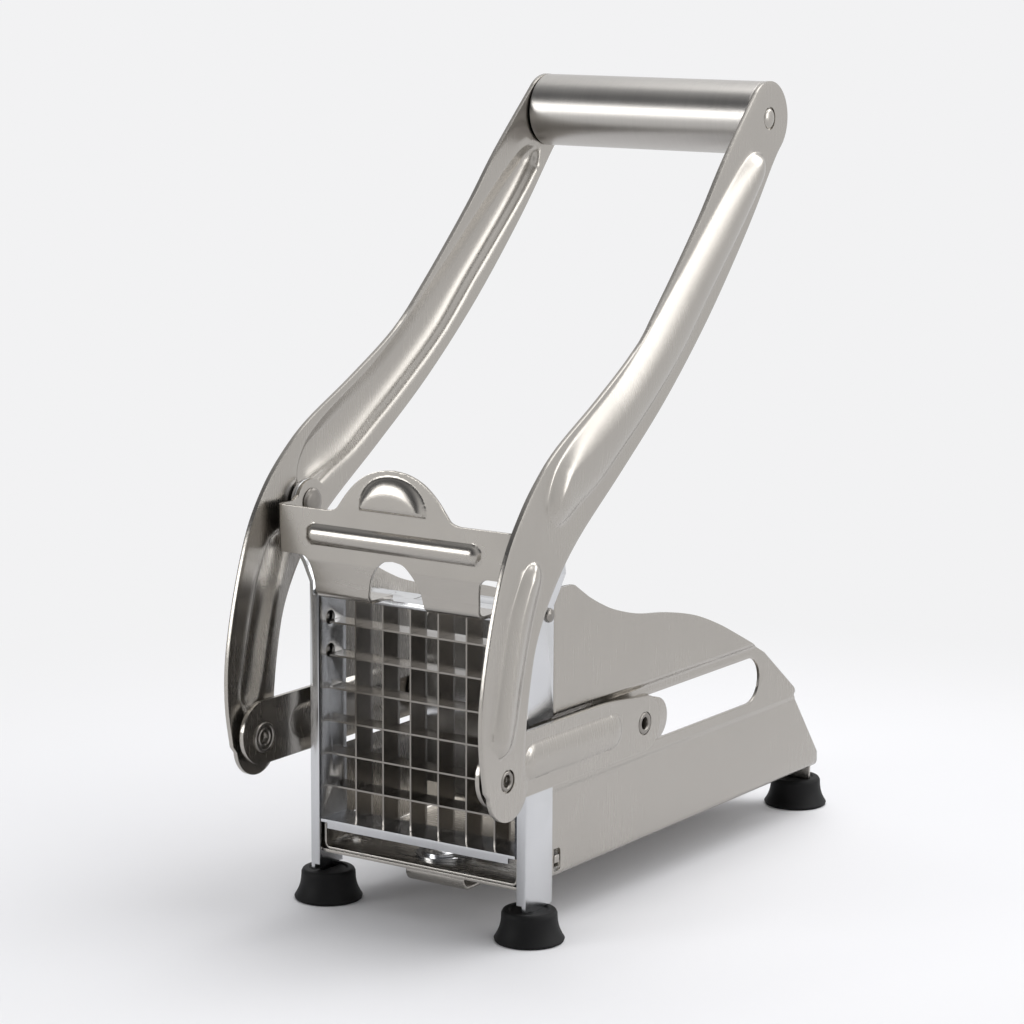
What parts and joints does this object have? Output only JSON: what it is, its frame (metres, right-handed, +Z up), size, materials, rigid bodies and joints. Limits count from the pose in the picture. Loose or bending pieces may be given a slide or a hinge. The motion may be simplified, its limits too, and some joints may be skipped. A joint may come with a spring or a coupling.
{
  "type": "french fry cutter",
  "caption": "Hand lever french fry cutter: steel trough on rubber feet, square blade grid, clamp plate, and a two-armed lever that drives a pusher plate through links.",
  "frame": {"origin": "on the table under the middle of the bounding box", "axes": "+X to the right seen from the rear end with the blades away, +Y from the blades to the open rear end, +Z up"},
  "size_m": [0.1058, 0.2444, 0.2666],
  "materials": {
    "trough_steel": "polished, fine grain",
    "bright_steel": "bright",
    "blade_steel": "ground",
    "handle_steel": "polished",
    "rubber": "satin black"
  },
  "bodies": {
    "base": {"trough": "trough_steel", "post_left": "bright_steel", "post_right": "bright_steel", "base_channel": "trough_steel", "frame_rivets": "bright_steel", "foot_front_left": "rubber", "foot_front_right": "rubber", "foot_rear_left": "rubber", "foot_rear_right": "rubber", "base_clip": "trough_steel", "clip_rivet": "bright_steel", "cartridge_frame": "bright_steel", "vertical_blades": "blade_steel", "horizontal_blades": "blade_steel"},
    "lever": {"arm_left": "trough_steel", "arm_right": "trough_steel", "handle_tube": "handle_steel", "handle_plugs": "bright_steel", "handle_rivets": "bright_steel", "arm_eyelets": "bright_steel", "fulcrum_pins": "bright_steel"},
    "clamp": {"clamp_plate": "trough_steel"},
    "pusher": {"pusher_plate": "bright_steel", "pusher_runners": "trough_steel", "link_pins": "bright_steel"},
    "links": {"link_left": "trough_steel", "link_right": "trough_steel", "link_eyelets": "bright_steel"}
  },
  "joints": [
    {"name": "lever_turn", "type": "hinge", "parent": "base", "child": "lever", "pos_m": [0, -0.08268, 0.133], "axis": [-1, 0, 0], "range_deg": [-40, 37.4]},
    {"name": "clamp_lift", "type": "hinge", "parent": "base", "child": "clamp", "pos_m": [0, -0.08268, 0.133], "axis": [-1, 0, 0], "range_deg": [0, 100]},
    {"name": "pusher_slide", "type": "slide", "parent": "base", "child": "pusher", "axis": [0, -1, 0], "range_m": [-0.0475, 0.0444]},
    {"name": "links_turn", "type": "hinge", "parent": "pusher", "child": "links", "pos_m": [0, -0.02358, 0.0601], "axis": [-1, 0, 0], "range_deg": [-10.5, 10]}
  ],
  "couplings": [
    {"joint": "pusher_slide", "follows": "lever_turn", "m_per_rad": 0.0676},
    {"joint": "links_turn", "follows": "lever_turn", "ratio": 0.25}
  ]
}
